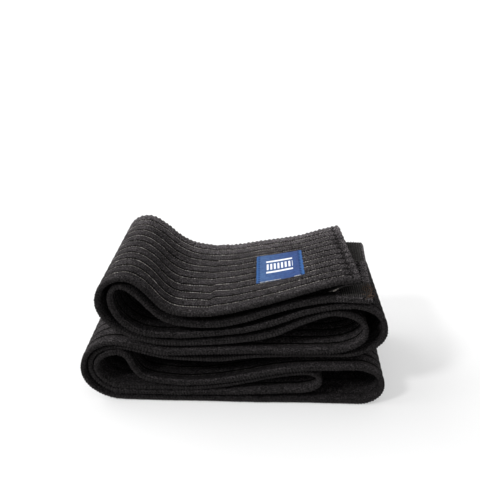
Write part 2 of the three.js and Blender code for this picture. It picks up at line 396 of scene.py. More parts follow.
# %% Helpers that build a tree
def new_tree(name, inputs):
    tree = bpy.data.node_groups.new(name, "GeometryNodeTree")
    tree.interface.new_socket("Geometry", in_out="INPUT", socket_type="NodeSocketGeometry")
    ids = {}
    for label, kind in inputs:
        socket = tree.interface.new_socket(label, in_out="INPUT", socket_type="NodeSocket" + kind)
        ids[label] = socket.identifier
    tree.interface.new_socket("Geometry", in_out="OUTPUT", socket_type="NodeSocketGeometry")
    entry = tree.nodes.new("NodeGroupInput")
    return tree, ids, entry.outputs


def put(tree, kind, sockets=None, **settings):
    node = tree.nodes.new(kind)
    for key, value in settings.items():
        setattr(node, key, value)
    for key, value in (sockets or {}).items():
        if isinstance(value, bpy.types.NodeSocket):
            tree.links.new(value, node.inputs[key])
        else:
            node.inputs[key].default_value = value
    return node


def sums(tree, operation, a, b=0.0):
    return put(tree, "ShaderNodeMath", {0: a, 1: b}, operation=operation).outputs[0]


def product(tree, first, *others):
    for other in others:
        first = sums(tree, "MULTIPLY", first, other)
    return first


def added(tree, a, b):
    return put(tree, "ShaderNodeVectorMath", {0: a, 1: b}, operation="ADD").outputs[0]


def scaled(tree, vector, by):
    return put(tree, "ShaderNodeVectorMath", {0: vector, "Scale": by}, operation="SCALE").outputs[0]


def attribute(tree, name, data_type="FLOAT"):
    return put(tree, "GeometryNodeInputNamedAttribute", {"Name": name}, data_type=data_type).outputs[0]


def leave(tree, geometry, material):
    whole = put(tree, "GeometryNodeRealizeInstances", {"Geometry": geometry})
    smooth = put(tree, "GeometryNodeSetShadeSmooth", {"Geometry": whole.outputs[0]})
    dressed = put(tree, "GeometryNodeSetMaterial", {"Geometry": smooth.outputs[0], "Material": material})
    put(tree, "NodeGroupOutput", {0: dressed.outputs[0]})


print("tree helpers ready")


# %% Helpers that make objects and run a tree on them
def add_object(name, data):
    obj = bpy.data.objects.new(name, data)
    bpy.context.scene.collection.objects.link(obj)
    return obj


def run_tree(obj, made, values):
    tree, ids, _ = made
    modifier = obj.modifiers.new("nodes", "NODES")
    modifier.node_group = tree
    for label, value in values.items():
        modifier[ids[label]] = value
    graph = bpy.context.evaluated_depsgraph_get()
    shown = obj.evaluated_get(graph)
    mesh = bpy.data.meshes.new_from_object(shown, preserve_all_data_layers=True, depsgraph=graph)
    obj.modifiers.remove(modifier)
    obj.data = mesh
    mesh.calc_loop_triangles()
    print(obj.name, len(mesh.loop_triangles), "triangles")
    return obj


def line_object(name, chains, attributes=(), closed=False):
    points, edges = [], []
    for chain in chains:
        first = len(points)
        points += chain
        edges += [(first + i, first + i + 1) for i in range(len(chain) - 1)]
        if closed:
            edges.append((len(points) - 1, first))
    mesh = bpy.data.meshes.new(name)
    mesh.from_pydata(points, edges, [])
    for label, kind, values in attributes:
        layer = mesh.attributes.new(label, kind, "POINT")
        flat = [c for v in values for c in v] if kind == "FLOAT_VECTOR" else list(values)
        layer.data.foreach_set("vector" if kind == "FLOAT_VECTOR" else "value", flat)
    return add_object(name, mesh)


def face_outward(obj):
    mesh = obj.data
    mesh.calc_loop_triangles()
    volume = 0.0
    for triangle in mesh.loop_triangles:
        a, b, c = [mesh.vertices[i].co for i in triangle.vertices]
        volume += a.dot(b.cross(c)) / 6
    if volume < 0:
        mesh.flip_normals()
    print(obj.name, "volume", round(abs(volume) * 1e6, 1), "cubic centimetres, turned", volume < 0)


print("object helpers ready")

# %% [markdown]
# ## Cloth materials
# Heavy elastic is matt and nearly black, but each rib is knitted from a dark and a paler yarn, so close
# up it has small light flecks. An image of cloth could be wrapped round the band, but would stretch in
# the folds. The band's mesh carries how far along, across and out each point is, so the material's
# flecks, grooves and knit run with the cloth around every fold.

# %% Material helpers
SPECULAR = 0.04
SHEEN_ROUGHNESS = 0.6
BUMP_REACH = 0.0005


def new_material(name, roughness, sheen=0.0):
    material = bpy.data.materials.new(name)
    material.use_nodes = True
    shader = material.node_tree.nodes["Principled BSDF"]
    shader.inputs["Roughness"].default_value = roughness
    shader.inputs["Specular IOR Level"].default_value = SPECULAR
    shader.inputs["Sheen Weight"].default_value = sheen
    shader.inputs["Sheen Roughness"].default_value = SHEEN_ROUGHNESS
    return material, material.node_tree, shader


def ramp_node(tree, value, stops):
    node = put(tree, "ShaderNodeValToRGB", {0: value})
    elements = node.color_ramp.elements
    while len(elements) < len(stops):
        elements.new(0.5)
    for element, (place, colour) in zip(elements, stops):
        element.position = place
        element.color = (*colour, 1.0)
    return node.outputs[0]


def tones(tree, value, *stops):
    return ramp_node(tree, value, [(place, (level, level, level)) for place, level in stops])


def read(tree, name):
    return put(tree, "ShaderNodeAttribute", attribute_name=name).outputs["Fac"]


def noise(tree, scale, detail, rough):
    spot = put(tree, "ShaderNodeTexCoord").outputs["Object"]
    sockets = {"Vector": spot, "Scale": scale, "Detail": detail, "Roughness": rough}
    return put(tree, "ShaderNodeTexNoise", sockets).outputs["Fac"]


def mixed(tree, mode, amount, a, b):
    node = put(tree, "ShaderNodeMix", data_type="RGBA", blend_type=mode)
    for key, value in ((0, amount), (6, a), (7, b)):
        if isinstance(value, bpy.types.NodeSocket):
            tree.links.new(value, node.inputs[key])
        else:
            node.inputs[key].default_value = value if key == 0 else (*value, 1.0)
    return node.outputs[2]


def toned(tree, colour, tone, amount=1.0):
    return mixed(tree, "MULTIPLY", amount, colour, tone)


def bump(tree, shader, height_socket, strength, distance):
    sockets = {"Height": height_socket, "Strength": strength, "Distance": distance}
    node = put(tree, "ShaderNodeBump", sockets)
    tree.links.new(node.outputs[0], shader.inputs["Normal"])


print("material helpers ready")

# %% [markdown]
# ## The band's own cloth
# On the real wrap the cloth isn't one black. Painted shade makes the grooves blacker than the ribs, darkens
# the front edge and the face inside the folds, and darkens the cloth that lies inside the stack. Painted
# light makes the ribs lighter towards the back, with a painted highlight on the back rib. The cut ends are
# worn pale, and the lower end is lightened further, partly by painted light. Each of these could be a
# material of its own, but then hard borders would show. Here each is a tone that the yarn's colour is
# multiplied by.

# %% Tones of the band's cloth
YARN = [(0.35, (0.007, 0.0064, 0.0066)), (0.50, (0.0295, 0.027, 0.028)), (0.66, (0.118, 0.108, 0.112))]
FLECK_SCALE = 1500.0
PATCH_SCALE = 90.0
PATCH_TONES = [(0.3, 0.82), (0.7, 1.15)]
# Painted shade in the grooves, by the distance from the middle of a rib, as a share of its width
GROOVE_SHADE_TONES = [(0.375, 1.0), (0.43, 0.05)]
GROOVE_SHIFT = -0.03
# Painted shade on the face inside the folds, by the distance out from the middle of the cloth, in millimetres
INNER_FACE_SHADE_TONES = [(0.0, 0.48), (0.5, 1.0)]
# By the place across the band, from the front edge at 0 to the back edge at 1: painted light that grows
# towards the back with a painted highlight on the back rib, then painted shade on the front edge
RIB_PAINTED_LIGHT_TONES = [(0.0, 0.72), (0.35, 0.92), (0.78, 1.06), (0.92, 1.95)]
FRONT_EDGE_SHADE_TONES = [(0.006, 0.62), (0.018, 1.0)]
# By the nearness to a cut end, in units of 25 mm and of 10 mm: less painted shade in the grooves, and paler
# worn ends
GROOVE_SHADE_AT_ENDS_TONES = [(0.1, 0.4), (0.5, 1.0)]
WORN_TONES = [(0.1, 1.7), (0.3, 1.0)]
GROOVE_SHADE_AT_ENDS_UNIT = 0.025
WORN_UNIT = 0.01
# The last stretch of the lower end is paler, partly from wear and partly as painted light over its shade
LOWER_END = 20.0
LOWER_END_WEAR_AND_LIFT = (3.0, 3.0, 3.0)
# Painted shade on label-side cloth inside the stack, apart from right at the front edge
INNER_SHADE_TONE = (0.4, 0.4, 0.4)
INNER_SHADE_FROM = 0.03
# Grooves are drawn only on the ribbed width, which stops short of the edges.
RIBBED_HALF = 37.0
# Added before the whole ribs are dropped, so that the number is never below nought
SPARE_RIBS = 20.0
COURSE = 1.1
WALE = 0.9
KNIT_SHARE = 0.25
print("band tones from", YARN[0][1], "to", YARN[-1][1])


# %% The band's cloth
# Painted shade in the grooves between the ribs
def groove_shade(tree, across):
    ribs = sums(tree, "MULTIPLY", across, 1 / (RIB * MM))
    inside = sums(tree, "FRACT", sums(tree, "ADD", ribs, RIBS / 2 + SPARE_RIBS + GROOVE_SHIFT))
    edge = sums(tree, "ABSOLUTE", sums(tree, "SUBTRACT", inside, 0.5))
    return tones(tree, edge, *GROOVE_SHADE_TONES)


def knit(tree, across, along):
    course = sums(tree, "SINE", sums(tree, "MULTIPLY", along, 2 * math.pi / (COURSE * MM)))
    wale = sums(tree, "SINE", sums(tree, "MULTIPLY", across, 2 * math.pi / (WALE * MM)))
    return product(tree, course, wale, KNIT_SHARE)


def band_cloth():
    material, tree, shader = new_material("band_cloth", roughness=1.0)
    across, along, out, inner_shade = [read(tree, name) for name in ("across", "along", "out", "inner_shade")]
    outer = sums(tree, "GREATER_THAN", out, 0.0)
    place = sums(tree, "ADD", sums(tree, "MULTIPLY", across, 1 / (BAND_WIDTH * MM)), 0.5)
    near_end = sums(tree, "MINIMUM", along, sums(tree, "SUBTRACT", LENGTH * MM, along))
    fleck = noise(tree, FLECK_SCALE, detail=2.0, rough=0.6)
    patches = tones(tree, noise(tree, PATCH_SCALE, detail=3.0, rough=0.6), *PATCH_TONES)
    colour = toned(tree, ramp_node(tree, fleck, YARN), patches)
    # The face that lies inside the folds is darker, as painted shade.
    colour = toned(tree, colour, tones(tree, sums(tree, "DIVIDE", out, MM), *INNER_FACE_SHADE_TONES))
    # Painted shade keeps the grooves between the ribs black, apart from the ends, where the ribs lie open.
    groove_shade_at_ends = tones(tree, sums(tree, "DIVIDE", near_end, GROOVE_SHADE_AT_ENDS_UNIT), *GROOVE_SHADE_AT_ENDS_TONES)
    ribbed = sums(tree, "LESS_THAN", sums(tree, "ABSOLUTE", across), RIBBED_HALF * MM)
    colour = toned(tree, colour, groove_shade(tree, across), product(tree, outer, groove_shade_at_ends, ribbed))
    # Painted light makes the ribs lighter towards the back, with a painted highlight on the back rib.
    colour = toned(tree, colour, tones(tree, place, *RIB_PAINTED_LIGHT_TONES), outer)
    # Painted shade darkens the front edge.
    colour = toned(tree, colour, tones(tree, place, *FRONT_EDGE_SHADE_TONES))
    # Both cut ends are worn pale, the lower one more. On the lower end part of this is painted light that
    # lifts the shade on it.
    colour = toned(tree, colour, tones(tree, sums(tree, "DIVIDE", near_end, WORN_UNIT), *WORN_TONES))
    lower_end = sums(tree, "GREATER_THAN", along, (LENGTH - LOWER_END) * MM)
    colour = toned(tree, colour, LOWER_END_WEAR_AND_LIFT, lower_end)
    # Painted shade darkens label-side cloth that is folded inside the stack.
    within = sums(tree, "GREATER_THAN", place, INNER_SHADE_FROM)
    colour = toned(tree, colour, INNER_SHADE_TONE, product(tree, inner_shade, outer, within))
    tree.links.new(colour, shader.inputs["Base Color"])
    lumps = sums(tree, "ADD", knit(tree, across, along), fleck)
    bump(tree, shader, lumps, strength=0.7, distance=BUMP_REACH)
    return material


BAND_CLOTH = band_cloth()
print("made", BAND_CLOTH.name)

# %% Yarns and threads
YARN_DARK = 0.34
YARN_LIGHT = 0.64
THREAD_WORN = [(0.36, (0.4, 0.4, 0.4)), (0.62, (1.0, 1.0, 1.0))]
THREAD_TWIST = [(0.40, (0.36, 0.35, 0.34)), (0.60, (1.0, 1.0, 1.0))]
WORN_SCALE = 55.0
TWIST_SCALE = 950.0


def yarn_material(name, dark, light, scale, roughness=1.0):
    material, tree, shader = new_material(name, roughness)
    fleck = noise(tree, scale, detail=3.0, rough=0.7)
    colour = ramp_node(tree, fleck, [(YARN_DARK, dark), (YARN_LIGHT, light)])
    tree.links.new(colour, shader.inputs["Base Color"])
    bump(tree, shader, fleck, strength=0.8, distance=BUMP_REACH)
    return material


def thread_material(name, colour):
    material, tree, shader = new_material(name, roughness=0.8)
    worn = ramp_node(tree, noise(tree, WORN_SCALE, detail=2.0, rough=0.55), THREAD_WORN)
    twist = ramp_node(tree, noise(tree, TWIST_SCALE, detail=2.0, rough=0.55), THREAD_TWIST)
    tree.links.new(toned(tree, toned(tree, worn, twist), colour), shader.inputs["Base Color"])
    return material


SELVAGE_YARN = yarn_material("selvage_yarn", (0.0032, 0.0029, 0.003), (0.03, 0.0277, 0.0283), 1150.0)
# A paler copy of the selvage yarn for the back edge, as a painted highlight.
BACK_YARN_HIGHLIGHT = yarn_material("back_selvage_yarn_highlight", (0.021, 0.0195, 0.0187), (0.08, 0.0742, 0.0705), 1150.0)
GROOVE_THREAD = thread_material("groove_thread", (0.58, 0.55, 0.52))
# Darker copies of the pale thread, as painted shade: one past the first fold, one on the face inside the
# folds.
THREAD_IN_PAINTED_SHADE = thread_material("groove_thread_in_painted_shade", (0.055, 0.052, 0.05))
OTHER_FACE_THREAD_SHADED = thread_material("other_face_thread_painted_shade", (0.022, 0.0205, 0.02))
HEM_THREAD = yarn_material("hem_thread", (0.003, 0.0027, 0.0028), (0.014, 0.0128, 0.013), 900.0)
print("materials", [m.name for m in bpy.data.materials])

# %% [markdown]
# ## The band
# The band is a knitted section swept along the line. A plain sweep would turn the section with the curve
# and couldn't lean or sag. So each point of the line carries its own place, the way its label side faces
# and how thick the cloth is there, because a hem pinches it. Each point of the section carries how far
# across and how far out it is. Curve to Mesh hands both to the new mesh, and Set Position puts every
# point where the two say, then applies the lean, the fan and the sag.

# %% The ribbed section
GROOVE_DEEP = 1.0
OTHER_DEEP = 0.5
LIP_DROP = 0.22
CREST_RISE = 0.1
# Ribs nearer the middle than this are puffed up near the cut end.
PUFFED_HALF = 38.0
EDGE_SWELL = (0.05, 0.5)
# Rounded edge of the band, as the distance in from the edge and out from the middle of the cloth
ROUND_EDGE = [(0.0, 0.0), (0.18, 0.75), (0.62, 1.2), (1.4, 1.44)]


# From the bottom of a groove up to the flat of its rib
def groove_side(deep):
    drops = [(0.0, deep), (0.45, deep * 0.72), (0.95, LIP_DROP), (2.0, 0.0)]
    return [(inset, HALF_THICK - drop) for inset, drop in drops]


def half_section(deep):
    points = []
    for i in range(RIBS):
        left = -HALF_WIDE + RIB * i
        right = left + RIB
        rising = ROUND_EDGE if i == 0 else groove_side(deep)
        falling = ROUND_EDGE if i == RIBS - 1 else groove_side(deep)
        points += [(left + inset, out) for inset, out in rising]
        points.append((left + RIB / 2, HALF_THICK + CREST_RISE))
        points += [(right - inset, out) for inset, out in reversed(falling[1:])]
    return points


def swell(across):
    inside = (across + HALF_WIDE) / RIB
    if inside < 0.5 or inside > RIBS - 0.5:
        return ramp(min(inside, RIBS - inside), *EDGE_SWELL)
    return 0.5 + 0.5 * math.cos(2 * math.pi * (inside - math.floor(inside) - 0.5))


label_side = half_section(GROOVE_DEEP)
other_side = half_section(OTHER_DEEP)
plain = [0.0] * len(other_side)
SECTION = label_side + [(-across, -out) for across, out in other_side]
SWELL = [swell(across) for across, _ in label_side] + plain
PUFF = [2 * swell(across) - 1 if abs(across) < PUFFED_HALF else 0.0 for across, _ in label_side] + plain
print("section points", len(SECTION))


# %% The tree that sweeps the band
def band_tree():
    inputs = [("Section", "Object"), ("Lean", "Float"), ("Fan", "Float"), ("Cloth", "Material")]
    made = new_tree("ribbed_band", inputs)
    tree, _, entry = made
    path = put(tree, "GeometryNodeMeshToCurve", {0: entry["Geometry"]}).outputs[0]
    shape = put(tree, "GeometryNodeObjectInfo", {"Object": entry["Section"]}).outputs["Geometry"]
    shape = put(tree, "GeometryNodeMeshToCurve", {0: shape}).outputs[0]
    sweep = {"Curve": path, "Profile Curve": shape, "Fill Caps": True}
    swept = put(tree, "GeometryNodeCurveToMesh", sweep).outputs[0]
    centre = attribute(tree, "centre", "FLOAT_VECTOR")
    facing = attribute(tree, "facing", "FLOAT_VECTOR")

    def shared(section_name, path_name):
        return product(tree, attribute(tree, section_name), attribute(tree, path_name))

    out = sums(tree, "ADD", shared("out", "thick"), shared("puff", "relief"))
    across = sums(tree, "ADD", shared("across", "narrow"), shared("crimped", "crimp"))
    over = put(tree, "ShaderNodeCombineXYZ", {1: across}).outputs[0]
    spot = added(tree, added(tree, centre, scaled(tree, facing, out)), over)
    x, y, z = put(tree, "ShaderNodeSeparateXYZ", {0: spot}).outputs
    back = sums(tree, "DIVIDE", sums(tree, "ADD", y, HALF_WIDE * MM), BAND_WIDTH * MM)
    fan = product(tree, attribute(tree, "fan"), entry["Fan"], back)
    lean = product(tree, attribute(tree, "lean"), entry["Lean"], back)
    x = sums(tree, "ADD", sums(tree, "ADD", x, fan), shared("swell", "bulge"))
    x = sums(tree, "SUBTRACT", x, FOOT_X * MM)
    y = sums(tree, "SUBTRACT", y, FOOT_Y * MM)
    z = sums(tree, "SUBTRACT", sums(tree, "ADD", z, lean), shared("sagged", "sag"))
    spot = put(tree, "ShaderNodeCombineXYZ", {0: x, 1: y, 2: z}).outputs[0]
    placed = put(tree, "GeometryNodeSetPosition", {"Geometry": swept, "Position": spot}).outputs[0]
    leave(tree, placed, entry["Cloth"])
    return made


RIBBED_BAND = band_tree()
print("tree", RIBBED_BAND[0].name, len(RIBBED_BAND[0].nodes), "nodes")

# %% What changes along the band
# The hem's stitches pinch the cloth: their place from the end, and the pinch's share and width
HEM_INSET = 5.0
HEM_PINCH = 0.17
HEM_WIDE = 0.9
# Rounding of a cut end: its length and the thickness left, then how the end narrows and bulges
END_ROUND = 1.8
END_LEAST = 0.3
NARROW_REACH = 3.0
NARROW_SHARE = 0.03
BULGE = 0.35
BULGE_REACH = 3.5
# Relief of the ribs everywhere, and what is added from the upper end on, each with the length it fades over
RELIEF = 0.08
MORE_RELIEF = [(0.34, 60.0), (0.04, 9.0)]
# Painted shade lies on the inner half of the stack from here on, and on the left of one outer run.
INNER_START = min(p["s"] for p in FINE if p["run"] == "B2")
INNER_FADE = 30.0
COVERED_RUN = "A5"
COVERED_X = (10, 55)


def hem_thickness(stop):
    near = from_end(stop)
    pinch = 1 - HEM_PINCH * math.exp(-((near - HEM_INSET) / HEM_WIDE) ** 2)
    if near < END_ROUND:
        pinch *= END_LEAST + (1 - END_LEAST) * math.sqrt(1 - (1 - near / END_ROUND) ** 2)
    return pinch


def hem_width(stop):
    near = from_end(stop)
    return 1.0 if near > NARROW_REACH else 1.0 - NARROW_SHARE * (1 - near / NARROW_REACH) ** 2


def rib_relief(stop):
    s = stop["s"]
    rounding = 1.0 if s > END_ROUND else END_LEAST + (1 - END_LEAST) * s / END_ROUND
    return (RELIEF + sum(size * math.exp(-s / fade) for size, fade in MORE_RELIEF)) * rounding


# The share of painted shade at each stop
def inner_shade_share(stop):
    if stop["run"] == COVERED_RUN:
        return 1 - ramp(stop["x"], *COVERED_X)
    return ramp(stop["s"], INNER_START - INNER_FADE, INNER_START)


def end_bulge(stop):
    return BULGE * (1 - ramp(from_end(stop), 0.0, BULGE_REACH))


print("hidden from", round(INNER_START), "mm on")

# %% Sweep the band
centres = [Vector((p["x"], p["shift"], p["z"])) * MM for p in STOPS]
path_attributes = [
    ("centre", "FLOAT_VECTOR", centres),
    ("facing", "FLOAT_VECTOR", [Vector((p["nx"], 0.0, p["nz"])) for p in STOPS]),
    ("along", "FLOAT", [p["s"] * MM for p in STOPS]),
    ("thick", "FLOAT", [hem_thickness(p) for p in STOPS]),
    ("narrow", "FLOAT", [hem_width(p) for p in STOPS]),
    ("relief", "FLOAT", [rib_relief(p) * MM for p in STOPS]),
    ("bulge", "FLOAT", [end_bulge(p) * MM for p in STOPS]),
    # The share of painted shade along the band
    ("inner_shade", "FLOAT", [inner_shade_share(p) for p in STOPS]),
]
path_attributes += [(key, "FLOAT", [p[key] * MM for p in STOPS]) for key in ("crimp", "sag", "fan", "lean")]
section_attributes = [
    ("across", "FLOAT", [across * MM for across, _ in SECTION]),
    ("out", "FLOAT", [out * MM for _, out in SECTION]),
    ("swell", "FLOAT", SWELL),
    ("puff", "FLOAT", PUFF),
    ("crimped", "FLOAT", [crimp_share(across) for across, _ in SECTION]),
    ("sagged", "FLOAT", [sag_share(across) for across, _ in SECTION]),
]
section_points = [Vector((across, out, 0)) * MM for across, out in SECTION]
section_line = line_object("band_section", [section_points], section_attributes, closed=True)
band = line_object("band", [centres], path_attributes)
run_tree(band, RIBBED_BAND, {"Section": section_line, "Lean": 1.0, "Fan": 1.0, "Cloth": BAND_CLOTH})
bpy.data.objects.remove(section_line)
face_outward(band)

# %% [markdown]
# ## Rows of small yarns
# Several things on the band are rows of one small shape: the picks that wrap round each edge, the thread
# that lies beside every groove, and the stitches. Modelling each by hand would take days, and a bump in
# the material wouldn't show at the outline. So each row is a line on the cloth. The tree walks it at an
# even pitch and lays a small bead along it, turned with the line and a little uneven in size.

# %% The tree that lays beads along lines
BEAD_SEED = 7


def bead_tree():
    made = new_tree("bead_rows", [
        ("Pitch", "Float"), ("Size", "Vector"), ("Slant", "Float"), ("Sides", "Int"), ("Rings", "Int"),
        ("Uneven", "Float"), ("Cloth", "Material")])
    tree, _, entry = made
    rows = put(tree, "GeometryNodeMeshToCurve", {0: entry["Geometry"]}).outputs[0]
    steps = {"Curve": rows, "Length": entry["Pitch"]}
    even = put(tree, "GeometryNodeResampleCurve", steps, mode="LENGTH").outputs[0]
    tangent = put(tree, "GeometryNodeInputTangent").outputs[0]
    turn = put(tree, "FunctionNodeAlignRotationToVector", {"Vector": tangent}, axis="X").outputs[0]
    tilt = put(tree, "ShaderNodeCombineXYZ", {2: entry["Slant"]}).outputs[0]
    tilt = put(tree, "FunctionNodeEulerToRotation", {0: tilt}).outputs[0]
    turn = put(tree, "FunctionNodeRotateRotation", {0: turn, 1: tilt}, rotation_space="LOCAL").outputs[0]
    ball = {"Segments": entry["Sides"], "Rings": entry["Rings"], "Radius": 1.0}
    bead = put(tree, "GeometryNodeMeshUVSphere", ball).outputs[0]
    least = sums(tree, "SUBTRACT", 1.0, entry["Uneven"])
    most = sums(tree, "ADD", 1.0, entry["Uneven"])
    limits = {2: least, 3: most, "Seed": BEAD_SEED}
    chance = put(tree, "FunctionNodeRandomValue", limits, data_type="FLOAT").outputs[1]
    size = scaled(tree, entry["Size"], chance)
    row = {"Points": even, "Instance": bead, "Rotation": turn, "Scale": size}
    laid = put(tree, "GeometryNodeInstanceOnPoints", row).outputs[0]
    leave(tree, laid, entry["Cloth"])
    return made


BEADS = bead_tree()


def beads(name, lines, cloth, pitch, size, facets, uneven, slant=0.0):
    sides, rings = facets
    return run_tree(line_object(name, lines), BEADS, {
        "Pitch": pitch * MM, "Size": [v * MM for v in size], "Slant": slant, "Sides": sides, "Rings": rings,
        "Uneven": uneven, "Cloth": cloth})


print("tree", BEADS[0].name, len(BEADS[0].nodes), "nodes")

# %% Picks round both edges
EDGE = HALF_WIDE - 0.5
EDGE_MARGIN = 1.2


def cloth_line(across, out, margin):
    return [cloth_point(p, across, out) for p in STOPS if margin <= p["s"] <= LENGTH - margin]


front_line = cloth_line(-EDGE, 0, EDGE_MARGIN)
back_line = cloth_line(EDGE, 0, EDGE_MARGIN)
front_picks = beads("selvage_picks_front", [front_line], SELVAGE_YARN, pitch=1.75, size=(0.98, 0.85, 1.42),
                    facets=(8, 5), uneven=0.06)
# The back picks carry the painted highlight.
back_picks = beads("selvage_picks_back", [back_line], BACK_YARN_HIGHLIGHT, pitch=2.9, size=(1.4, 1.15, 1.62),
                   facets=(8, 5), uneven=0.08)

# %% Threads beside the grooves
# A thread lies this far in front of its groove and this far below the rib, and dips with the rib's relief.
THREAD_ASIDE = 0.72
THREAD_SINK = 0.17
THREAD_DIP = 0.8
OTHER_ASIDE = 0.55
OTHER_SINK = 0.06
# Pale threads start past the hem and end at the nose of the first fold, which comes before this length.
# Past the nose, and on the other face, the same thread is drawn darker, as painted shade.
THREAD_START = 9.0
THREAD_MARGIN = 1.0
FIRST_RUNS = 260.0


def thread_line(groove, first, last):
    line = []
    for p in STOPS:
        if first < p["s"] < last:
            out = HALF_THICK - THREAD_SINK - THREAD_DIP * rib_relief(p)
            line.append(cloth_point(p, groove - THREAD_ASIDE, out))
    return line


grooves = [-HALF_WIDE + RIB * i for i in range(1, RIBS)]
first_nose = min([p for p in FINE if p["s"] < FIRST_RUNS], key=lambda p: p["x"])["s"]
upper_lines = [thread_line(g, THREAD_START, first_nose) for g in grooves]
lower_lines = [thread_line(g, first_nose, LENGTH - THREAD_MARGIN) for g in grooves]
other_lines = [cloth_line(g - OTHER_ASIDE, OTHER_SINK - HALF_THICK, THREAD_MARGIN) for g in grooves]
upper_threads = beads("groove_threads_upper", upper_lines, GROOVE_THREAD, pitch=1.5, size=(0.62, 0.21, 0.22),
                      facets=(6, 4), uneven=0.35)
lower_threads = beads("groove_threads_lower", lower_lines, THREAD_IN_PAINTED_SHADE, pitch=1.9, size=(1.1, 0.24, 0.24),
                      facets=(4, 3), uneven=0.2)
other_threads = beads("groove_threads_other_side", other_lines, OTHER_FACE_THREAD_SHADED, pitch=2.4,
                      size=(1.3, 0.15, 0.15), facets=(4, 3), uneven=0.2)

# %% [markdown]
# ## Thin patches
# The label and the fastener tapes are thin pads on one face of a run. A flat pad pressed on by a
# Shrinkwrap modifier would sink into the grooves. So a pad is a grid that asks the cloth where it is,
# with its rim thinned so that it looks pressed and sewn down. It also keeps its own place in itself, from
# 0 to 1 both ways, so its material can draw a border or a pattern.

# %% The patch maker
PAD_SINK = 0.05
RIM_PRESS = 0.35
RIM_WIDE = 0.9
DROOP_SHARE = (0.35, 1.0)
STRAIGHT = dict(turn=0.0, askew=0.0, flare=0.0, droop=0.0)


def pad_spot(pad, u, v, out):
    stop = run_stop(pad["run"], pad["from_x"] + (pad["to_x"] - pad["from_x"]) * u + pad["askew"] * v)
    across = pad["front"] + (pad["back"] - pad["front"]) * v + pad["turn"] * (u - 0.5) + pad["flare"] * u * v
    return cloth_point(stop, across, out)


def pad_out(pad, u, v, level):
    length, width = pad["to_x"] - pad["from_x"], pad["back"] - pad["front"]
    rim = min(u * length, (1 - u) * length, v * width, (1 - v) * width)
    press = RIM_PRESS + (1 - RIM_PRESS) * ramp(rim, 0.0, RIM_WIDE)
    low = HALF_THICK - PAD_SINK + pad["droop"] * ramp(1 - u, *DROOP_SHARE)
    return pad["face"] * (low + level * pad["thick"] * press)


def pad_faces(columns, rows):
    size = (columns + 1) * (rows + 1)
    faces = []
    for i in range(columns):
        for j in range(rows):
            a = i * (rows + 1) + j
            b, c, d = a + rows + 1, a + rows + 2, a + 1
            faces.append((a, d, c, b))
            faces.append((a + size, b + size, c + size, d + size))
    ring = list(range(rows + 1))
    ring += [i * (rows + 1) + rows for i in range(1, columns + 1)]
    ring += [columns * (rows + 1) + j for j in range(rows - 1, -1, -1)]
    ring += [i * (rows + 1) for i in range(columns - 1, 0, -1)]
    for a, b in zip(ring, ring[1:] + ring[:1]):
        faces.append((a, b, b + size, a + size))
    return faces


def patch(name, pad, cloth, columns, rows):
    grid = [(i / columns, j / rows) for i in range(columns + 1) for j in range(rows + 1)]
    points = [pad_spot(pad, u, v, pad_out(pad, u, v, level)) for level in (0, 1) for u, v in grid]
    mesh = bpy.data.meshes.new(name)
    mesh.from_pydata(points, [], pad_faces(columns, rows))
    for axis, label in enumerate(("u", "v")):
        values = [place[axis] for place in grid + grid]
        mesh.attributes.new(label, "FLOAT", "POINT").data.foreach_set("value", values)
    mesh.shade_smooth()
    mesh.materials.append(cloth)
    obj = add_object(name, mesh)
    face_outward(obj)
    return obj


print("patch maker ready")

# %% [markdown]
# ## The label
# A small woven label in royal blue, with its two ends turned under and sewn down. Its field holds a plain
# ladder pattern of white thread, as trimmings often do. The pattern could be painted, but drawing it from
# the label's own place keeps its edges sharp at any size. Rows of short dark stitches hold the ends, and
# a few loose white threads show along the front edge.

# %% Label cloth
# Places in the label, as shares of its length u and its width v
RAIL_V = [(0.27, 0.33), (0.67, 0.73)]
RUNG_V = (0.39, 0.61)
RUNG_BEATS = 13.0
RUNG_SHARE = 0.55
LADDER_U = (0.22, 0.78)
TURNED_TONES = [(0.41, 0.0), (0.43, 1.0)]
FIELD_BLUE = [(0.35, (0.012, 0.041, 0.155)), (0.65, (0.025, 0.072, 0.22))]
# Painted sheen: the field grows lighter towards the left end of the label.
FIELD_PAINTED_SHEEN = [(0.05, (2.1, 1.75, 1.28)), (0.75, (0.8, 0.88, 0.98))]
FIELD_SCALE = 500.0
TURNED_BLUE = (0.0165, 0.09, 0.275)
LADDER_WHITE = (0.82, 0.84, 0.88)
WARP_COUNT = 46
WEFT_COUNT = 60
LADDER_RAISE = 1.5
WEAVE_REACH = 0.00015
LABEL_SPECULAR = 0.3


def between(tree, value, low, high):
    return product(tree, sums(tree, "GREATER_THAN", value, low), sums(tree, "LESS_THAN", value, high))


def ladder(tree, u, v):
    rails = sums(tree, "ADD", *[between(tree, v, low, high) for low, high in RAIL_V])
    beat = sums(tree, "FRACT", sums(tree, "MULTIPLY", u, RUNG_BEATS))
    rungs = product(tree, between(tree, v, *RUNG_V), sums(tree, "LESS_THAN", beat, RUNG_SHARE))
    return product(tree, between(tree, u, *LADDER_U), sums(tree, "MAXIMUM", rails, rungs))


